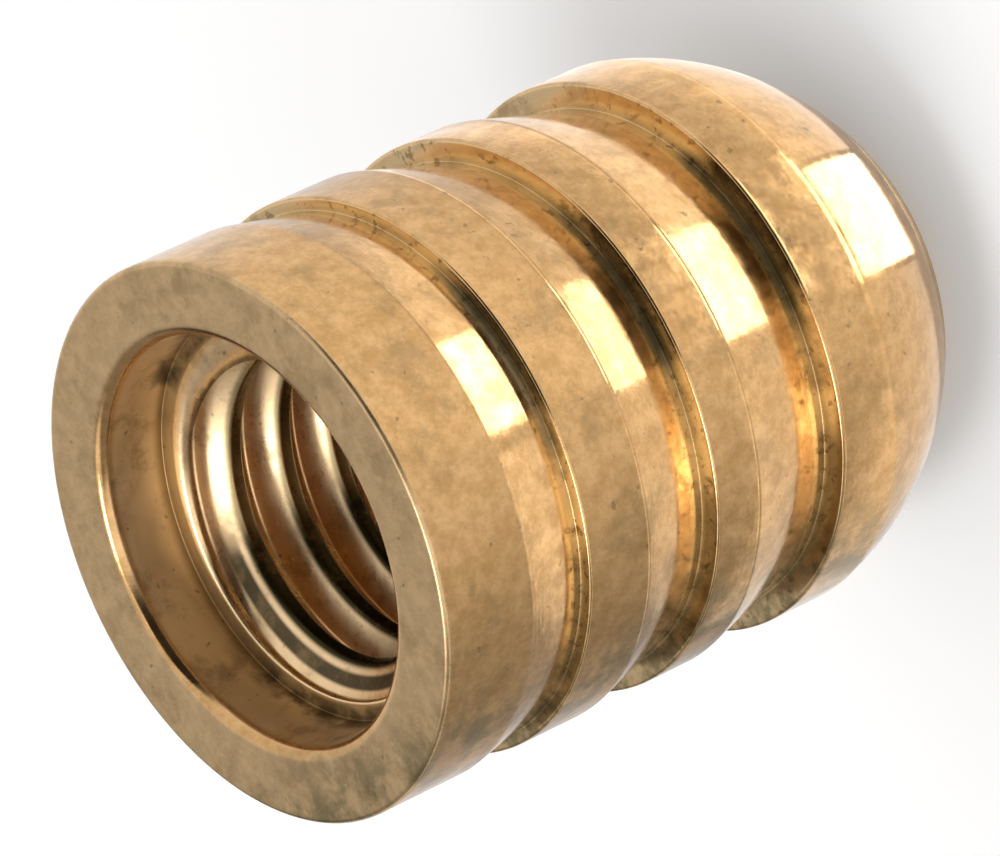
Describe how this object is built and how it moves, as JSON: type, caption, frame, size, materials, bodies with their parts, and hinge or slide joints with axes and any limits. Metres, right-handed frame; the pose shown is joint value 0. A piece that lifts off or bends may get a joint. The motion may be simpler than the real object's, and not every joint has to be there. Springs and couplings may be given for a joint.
{
  "type": "threaded insert",
  "caption": "Turned brass press-in insert: a short sleeve with a tapped bore, barbed rings round the outside and a rounded lead-in nose.",
  "frame": {"origin": "middle of the nose face, on the bore's axis", "axes": "+Z along the bore, from the nose up to the mouth where the screw goes in"},
  "size_m": [0.009, 0.009, 0.012],
  "materials": {
    "turned_brass": "turned, lightly dulled"
  },
  "bodies": {
    "root": {"insert_body": "turned_brass"}
  },
  "joints": []
}
